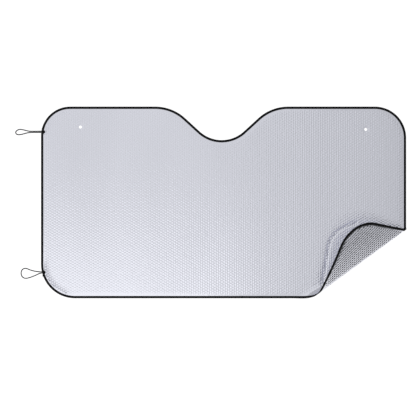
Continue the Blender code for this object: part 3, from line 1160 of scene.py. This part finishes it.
def trefoil(knot):
    """Points of a pressed trefoil that fills the knot's box."""
    cord = CORD_DIAMETER
    room = (KNOT_SIZE - Vector((cord, cord, cord))) / 2
    line = []
    for i in range(TREFOIL_POINTS):
        t = 2 * math.pi * i / TREFOIL_POINTS
        reach = (2 + math.cos(3 * t)) / 3
        line.append((
            knot.x + room.x * reach * math.cos(2 * t),
            knot.y + room.y * reach * math.sin(2 * t),
            KNOT_BASE + KNOT_SIZE.z / 2 + room.z * math.sin(3 * t),
        ))
    return np.array(line)


TAIL_ROUTE = [
    (0.0005, 0.0020, 0.0085),
    (-0.0012, 0.0070, 0.0080),
    (-0.0028, 0.0112, 0.0067),
    (-0.0036, 0.0150, CORD_ON_TAPE),
]
CUT_EDGE = math.radians(60)


def make_knot(name, knot):
    """The tied knot with its two cut ends, as one piece."""
    tubes = [cord_tube(name, trefoil(knot), closed=True)]
    for side in (1, -1):
        placed = [(knot.x + x, knot.y + side * y, z) for x, y, z in TAIL_ROUTE]
        points, _ = smooth_points(placed, BRAID_STEP)
        tail = cord_tube(name, points)
        braid(tail, points)
        tubes.append(tail)
    shape = bmesh.new()
    for tube in tubes:
        shape.from_mesh(tube)
        bpy.data.meshes.remove(tube)
    mesh = bpy.data.meshes.new(name)
    shape.to_mesh(mesh)
    shape.free()
    mesh.shade_smooth()
    mesh.set_sharp_from_angle(angle=CUT_EDGE)
    return add_piece(name + "_tied", mesh, elastic, "elastic_cord", name)


upper_knot = make_knot("upper_loop_knot", UPPER_KNOT)
lower_knot = make_knot("lower_loop_knot", LOWER_KNOT)
print(upper_knot.name, "and", lower_knot.name)

# %% [markdown]
# ## What bends freely
#
# The two elastic loops are free cords and the foil is a sheet, each with the real size it was cut
# to.

# %% Cords and sheet
print("two free cords and one sheet")

# %% [markdown]
# ## Ground
#
# The photograph's ground is pure white with only a trace of shadow. A matt white floor under
# plain light would be a pale grey, so to the camera the floor is mostly its own white, and a
# part of it is lit and so keeps the shadow.

# %% Ground
FLOOR_COLOUR = (0.85, 0.85, 0.85)
FLOOR_ROUGHNESS = 0.9
FLOOR_GLOW = 0.88
FLOOR_LIT = 0.38
FLOOR_HALF = 12.0
FLOOR_DROP = 0.0003


def floor_material():
    """White to the camera and in mirrors, plain matt for the light that it gives back."""
    material, tree, shader = new_material("white ground", FLOOR_COLOUR, FLOOR_ROUGHNESS, 0.0)
    seen = tree.nodes.new("ShaderNodeLightPath")
    glow = tree.nodes.new("ShaderNodeEmission")
    glow.inputs["Strength"].default_value = FLOOR_GLOW
    lit = tree.nodes.new("ShaderNodeBsdfDiffuse")
    lit.inputs["Color"].default_value = (FLOOR_LIT, FLOOR_LIT, FLOOR_LIT, 1.0)
    both = tree.nodes.new("ShaderNodeAddShader")
    tree.links.new(glow.outputs[0], both.inputs[0])
    tree.links.new(lit.outputs[0], both.inputs[1])
    shown = seen.outputs["Is Camera Ray"]
    for ray in ("Is Glossy Ray", "Is Transmission Ray"):
        shown = math_node(tree, "MAXIMUM", shown, seen.outputs[ray])
    choose = tree.nodes.new("ShaderNodeMixShader")
    tree.links.new(shown, choose.inputs[0])
    tree.links.new(shader.outputs[0], choose.inputs[1])
    tree.links.new(both.outputs[0], choose.inputs[2])
    tree.links.new(choose.outputs[0], tree.nodes["Material Output"].inputs["Surface"])
    return material


shape = bmesh.new()
bmesh.ops.create_grid(shape, x_segments=1, y_segments=1, size=FLOOR_HALF)
floor_mesh = bpy.data.meshes.new("ground")
shape.to_mesh(floor_mesh)
shape.free()
floor_mesh.materials.append(floor_material())
ground = bpy.data.objects.new("ground", floor_mesh)
ground.location.z = -FLOOR_DROP
bpy.context.scene.collection.objects.link(ground)
print(f"ground {2 * FLOOR_HALF:.0f} m wide")

# %% [markdown]
# ## Light
#
# Foil shows what is round it, so the light is mostly a sky. Overhead it is bright and even,
# like a wide soft box, and a little brighter to the left. Lower down it is dimmer, and nearly
# black on one side, as behind a dark flag: the sides of the bubbles and the curled corner
# mirror that, which draws their dots. The horizon keeps a faint glow all round. Two wide and
# weak lamps hang low over the left of the sheet and brighten it softly. They face straight
# down, so the camera doesn't see them.

# %% Sky
SKY_COLOUR = (0.97, 0.98, 1.0)
OVERHEAD = 0.64
OVERHEAD_LEAN = -0.12
BOX_EDGE = (0.55, 0.85)
BOX_TILT = -0.20
SIDE = 0.50
FLAG = 0.01
FLAG_SIDE = (0.535, -0.845)
FLAG_EDGE = (0.2, 0.9)
HORIZON = 0.28
HORIZON_EDGE = (0.18, 0.42)


def smooth_range(tree, value, low, high, to_low, to_high):
    """Goes softly from one value to another while a socket goes from low to high."""
    node = tree.nodes.new("ShaderNodeMapRange")
    node.interpolation_type = "SMOOTHSTEP"
    limits = {"From Min": low, "From Max": high, "To Min": to_low, "To Max": to_high}
    for label, limit in limits.items():
        node.inputs[label].default_value = limit
    tree.links.new(value, node.inputs["Value"])
    return node.outputs[0]


def sky():
    """The soft box, the dark flag and the horizon, by the direction looked in."""
    world = bpy.data.worlds.new("studio")
    bpy.context.scene.world = world
    world.use_nodes = True
    tree = world.node_tree
    backdrop = tree.nodes["Background"]
    coordinates = tree.nodes.new("ShaderNodeTexCoord")
    split = tree.nodes.new("ShaderNodeSeparateXYZ")
    tree.links.new(coordinates.outputs["Generated"], split.inputs[0])
    x, y, z = (split.outputs[axis] for axis in "XYZ")
    overhead = math_node(tree, "ADD", math_node(tree, "MULTIPLY", x, OVERHEAD_LEAN), OVERHEAD)
    flag_x = math_node(tree, "MULTIPLY", x, FLAG_SIDE[0])
    flag_y = math_node(tree, "MULTIPLY", y, FLAG_SIDE[1])
    across = math_node(tree, "ADD", flag_x, flag_y)
    low = smooth_range(tree, across, *FLAG_EDGE, SIDE, FLAG)
    glow = smooth_range(tree, z, *HORIZON_EDGE, HORIZON, 0.0)
    low = math_node(tree, "MAXIMUM", low, glow)
    tilted = math_node(tree, "ADD", z, math_node(tree, "MULTIPLY", across, BOX_TILT))
    height = smooth_range(tree, tilted, *BOX_EDGE, 0.0, 1.0)
    rise = math_node(tree, "MULTIPLY", math_node(tree, "SUBTRACT", overhead, low), height)
    strength = math_node(tree, "ADD", low, rise)
    seen = tree.nodes.new("ShaderNodeLightPath")
    white = tree.nodes.new("ShaderNodeMix")
    tree.links.new(seen.outputs["Is Camera Ray"], white.inputs["Factor"])
    tree.links.new(strength, white.inputs["A"])
    white.inputs["B"].default_value = 1.0
    tree.links.new(white.outputs[0], backdrop.inputs["Strength"])
    backdrop.inputs["Color"].default_value = (*SKY_COLOUR, 1.0)


def soft_lamp(name, place, size, power):
    """A square lamp that faces straight down, so it isn't seen from above."""
    lamp = bpy.data.lights.new(name, "AREA")
    lamp.shape = "SQUARE"
    lamp.size = size
    lamp.energy = power
    item = bpy.data.objects.new(name, lamp)
    item.location = place
    bpy.context.scene.collection.objects.link(item)
    print(f"{name}: {power} W")


sky()
soft_lamp("lower left box", (-0.75, -0.95, 0.80), 1.5, 3.3)
soft_lamp("left box", (-0.55, 0.00, 0.80), 1.9, 1.5)

# %% [markdown]
# ## Finish
#
# The picture is drawn with the plain Standard view transform.

# %% Finish
bpy.context.scene.view_settings.view_transform = "Standard"
